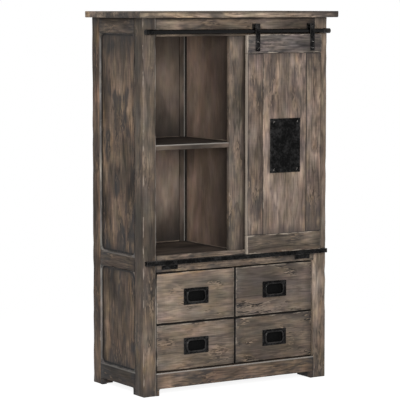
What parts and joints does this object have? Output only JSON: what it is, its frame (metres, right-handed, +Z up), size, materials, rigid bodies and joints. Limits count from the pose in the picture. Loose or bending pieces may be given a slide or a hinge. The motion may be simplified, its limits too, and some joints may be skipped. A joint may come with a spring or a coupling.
{
  "type": "bookcase",
  "caption": "Tall weathered wood bookcase with a plank door that slides on a round iron rod, an open shelved niche beside it and inset drawers with recessed iron cup pulls below.",
  "frame": {"origin": "middle of the outer box on the floor; the top board sets the box, flush at the back and overhanging at the front and sides", "axes": "+X to the right seen from the front, +Y to the back, +Z up"},
  "size_m": [1.116, 0.526, 1.8],
  "materials": {
    "weathered_wood": "grey-brown washed solid wood, brushed, with worn pale edges",
    "inner_wood": "dark grey-brown stained wood, matte",
    "black_iron": "black waxed iron, satin",
    "black_nylon": "black, matte"
  },
  "bodies": {
    "case": {"top_board": "weathered_wood", "post_front_left": "weathered_wood", "post_front_right": "weathered_wood", "post_back_left": "weathered_wood", "post_back_right": "weathered_wood", "side_top_rail_left": "weathered_wood", "side_top_rail_right": "weathered_wood", "side_mid_rail_left": "weathered_wood", "side_mid_rail_right": "weathered_wood", "side_bottom_rail_left": "weathered_wood", "side_bottom_rail_right": "weathered_wood", "side_panel_upper_left": "weathered_wood", "side_panel_upper_right": "weathered_wood", "side_panel_lower_left": "weathered_wood", "side_panel_lower_right": "weathered_wood", "front_top_rail": "weathered_wood", "front_mid_rail": "weathered_wood", "front_apron": "weathered_wood", "centre_stile": "weathered_wood", "partition": "inner_wood", "deck_left": "inner_wood", "deck_right": "inner_wood", "bottom_board": "inner_wood", "shelf_left": "inner_wood", "shelf_right": "inner_wood", "back_panel_left": "inner_wood", "back_panel_right": "inner_wood", "back_top_rail": "inner_wood", "back_bottom_rail": "inner_wood", "drawer_divider": "inner_wood", "drawer_shelf_left": "inner_wood", "drawer_shelf_right": "inner_wood", "rod": "black_iron", "standoff_left": "black_iron", "standoff_right": "black_iron", "guide_bar": "black_iron"},
    "door": {"door_top_rail": "weathered_wood", "door_bottom_rail": "weathered_wood", "door_left_board": "weathered_wood", "door_middle_board": "weathered_wood", "door_right_board": "weathered_wood", "plaque": "black_iron", "hanger_left": "black_iron", "hanger_right": "black_iron", "guide_fin": "black_nylon"},
    "roller_left": {"roller_left": "black_iron"},
    "roller_right": {"roller_right": "black_iron"},
    "drawer_upper_left": {"drawer_front_upper_left": "weathered_wood", "drawer_box_upper_left": "inner_wood", "pull_upper_left": "black_iron"},
    "drawer_upper_right": {"drawer_front_upper_right": "weathered_wood", "drawer_box_upper_right": "inner_wood", "pull_upper_right": "black_iron"},
    "drawer_lower_left": {"drawer_front_lower_left": "weathered_wood", "drawer_box_lower_left": "inner_wood", "pull_lower_left": "black_iron"},
    "drawer_lower_right": {"drawer_front_lower_right": "weathered_wood", "drawer_box_lower_right": "inner_wood", "pull_lower_right": "black_iron"}
  },
  "joints": [
    {"name": "door_slide", "type": "slide", "parent": "case", "child": "door", "axis": [1, 0, 0], "range_m": [-0.53, 0.03]},
    {"name": "roller_left_spin", "type": "hinge", "parent": "door", "child": "roller_left", "pos_m": [0.092, -0.24, 1.7243], "axis": [0, 1, 0], "range_deg": [-3575, 205]},
    {"name": "roller_right_spin", "type": "hinge", "parent": "door", "child": "roller_right", "pos_m": [0.408, -0.24, 1.7243], "axis": [0, 1, 0], "range_deg": [-3575, 205]},
    {"name": "drawer_upper_left_slide", "type": "slide", "parent": "case", "child": "drawer_upper_left", "axis": [0, -1, 0], "range_m": [0, 0.3]},
    {"name": "drawer_upper_right_slide", "type": "slide", "parent": "case", "child": "drawer_upper_right", "axis": [0, -1, 0], "range_m": [0, 0.3]},
    {"name": "drawer_lower_left_slide", "type": "slide", "parent": "case", "child": "drawer_lower_left", "axis": [0, -1, 0], "range_m": [0, 0.3]},
    {"name": "drawer_lower_right_slide", "type": "slide", "parent": "case", "child": "drawer_lower_right", "axis": [0, -1, 0], "range_m": [0, 0.3]}
  ],
  "couplings": [
    {"joint": "roller_left_spin", "follows": "door_slide", "rad_per_m": 117.65},
    {"joint": "roller_right_spin", "follows": "door_slide", "rad_per_m": 117.65}
  ]
}
